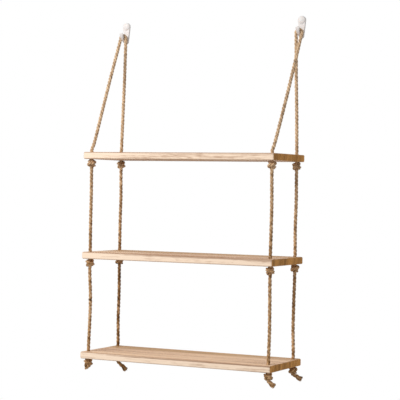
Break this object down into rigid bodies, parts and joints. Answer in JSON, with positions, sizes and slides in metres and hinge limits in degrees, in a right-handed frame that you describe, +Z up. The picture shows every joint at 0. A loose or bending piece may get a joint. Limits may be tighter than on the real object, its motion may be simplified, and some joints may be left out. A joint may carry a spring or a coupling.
{
  "type": "hanging rope shelf",
  "caption": "Wall-hung wooden shelf whose boards are strung on knotted twisted rope, looped over two small wall hooks.",
  "frame": {"origin": "on the wall, midway between the two hooks, level with the crowns of the rope loops", "axes": "+X runs along the boards to the right seen from the room, +Y runs into the wall, +Z is up"},
  "size_m": [0.4242, 0.151, 0.7282],
  "materials": {
    "board": "bare sanded light wood",
    "rope": "natural three-strand twisted plant fibre rope",
    "hook": "white moulded plastic, semi-gloss",
    "pad": "pale grey foam tape"
  },
  "bodies": {
    "wall_hooks": {"left_wall_hook": "hook", "right_wall_hook": "hook", "left_adhesive_pad": "pad", "right_adhesive_pad": "pad"},
    "rope_loops": {"left_rope_loop": "rope", "right_rope_loop": "rope"},
    "left_upper_ropes": {"upper_left_front_rope": "rope", "upper_left_back_rope": "rope"},
    "right_upper_ropes": {"upper_right_front_rope": "rope", "upper_right_back_rope": "rope"},
    "top_shelf": {"top_board": "board", "top_left_front_knot": "rope", "top_left_back_knot": "rope", "top_right_front_knot": "rope", "top_right_back_knot": "rope"},
    "left_middle_ropes": {"middle_left_front_rope": "rope", "middle_left_back_rope": "rope"},
    "right_middle_ropes": {"middle_right_front_rope": "rope", "middle_right_back_rope": "rope"},
    "middle_shelf": {"middle_board": "board", "middle_left_front_knot": "rope", "middle_left_back_knot": "rope", "middle_right_front_knot": "rope", "middle_right_back_knot": "rope"},
    "left_lower_ropes": {"lower_left_front_rope": "rope", "lower_left_back_rope": "rope"},
    "right_lower_ropes": {"lower_right_front_rope": "rope", "lower_right_back_rope": "rope"},
    "bottom_shelf": {"bottom_board": "board", "bottom_left_front_knot": "rope", "bottom_left_back_knot": "rope", "bottom_right_front_knot": "rope", "bottom_right_back_knot": "rope"}
  },
  "joints": [
    {"name": "swing_out", "type": "hinge", "parent": "wall_hooks", "child": "rope_loops", "pos_m": [0, -0.0165, 0], "axis": [-1, 0, 0], "range_deg": [0, 15]},
    {"name": "sway", "type": "hinge", "parent": "rope_loops", "child": "left_upper_ropes", "pos_m": [-0.199, -0.0165, -0.0063], "axis": [0, 1, 0], "range_deg": [-6, 6]},
    {"name": "sway_right_upper", "type": "hinge", "parent": "rope_loops", "child": "right_upper_ropes", "pos_m": [0.199, -0.0165, -0.0063], "axis": [0, 1, 0], "range_deg": [-6, 6]},
    {"name": "top_shelf_level", "type": "hinge", "parent": "left_upper_ropes", "child": "top_shelf", "pos_m": [-0.199, -0.0165, -0.247], "axis": [0, 1, 0], "range_deg": [-6, 6]},
    {"name": "sway_left_middle", "type": "hinge", "parent": "top_shelf", "child": "left_middle_ropes", "pos_m": [-0.199, -0.0165, -0.27798], "axis": [0, 1, 0], "range_deg": [-6, 6]},
    {"name": "sway_right_middle", "type": "hinge", "parent": "top_shelf", "child": "right_middle_ropes", "pos_m": [0.199, -0.0165, -0.27798], "axis": [0, 1, 0], "range_deg": [-6, 6]},
    {"name": "middle_shelf_level", "type": "hinge", "parent": "left_middle_ropes", "child": "middle_shelf", "pos_m": [-0.199, -0.0165, -0.448], "axis": [0, 1, 0], "range_deg": [-6, 6]},
    {"name": "sway_left_lower", "type": "hinge", "parent": "middle_shelf", "child": "left_lower_ropes", "pos_m": [-0.199, -0.0165, -0.47898], "axis": [0, 1, 0], "range_deg": [-6, 6]},
    {"name": "sway_right_lower", "type": "hinge", "parent": "middle_shelf", "child": "right_lower_ropes", "pos_m": [0.199, -0.0165, -0.47898], "axis": [0, 1, 0], "range_deg": [-6, 6]},
    {"name": "bottom_shelf_level", "type": "hinge", "parent": "left_lower_ropes", "child": "bottom_shelf", "pos_m": [-0.199, -0.0165, -0.649], "axis": [0, 1, 0], "range_deg": [-6, 6]}
  ],
  "couplings": [
    {"joint": "sway_right_upper", "follows": "sway", "ratio": 1},
    {"joint": "top_shelf_level", "follows": "sway", "ratio": -1},
    {"joint": "sway_left_middle", "follows": "sway", "ratio": 1},
    {"joint": "sway_right_middle", "follows": "sway", "ratio": 1},
    {"joint": "middle_shelf_level", "follows": "sway", "ratio": -1},
    {"joint": "sway_left_lower", "follows": "sway", "ratio": 1},
    {"joint": "sway_right_lower", "follows": "sway", "ratio": 1},
    {"joint": "bottom_shelf_level", "follows": "sway", "ratio": -1}
  ]
}
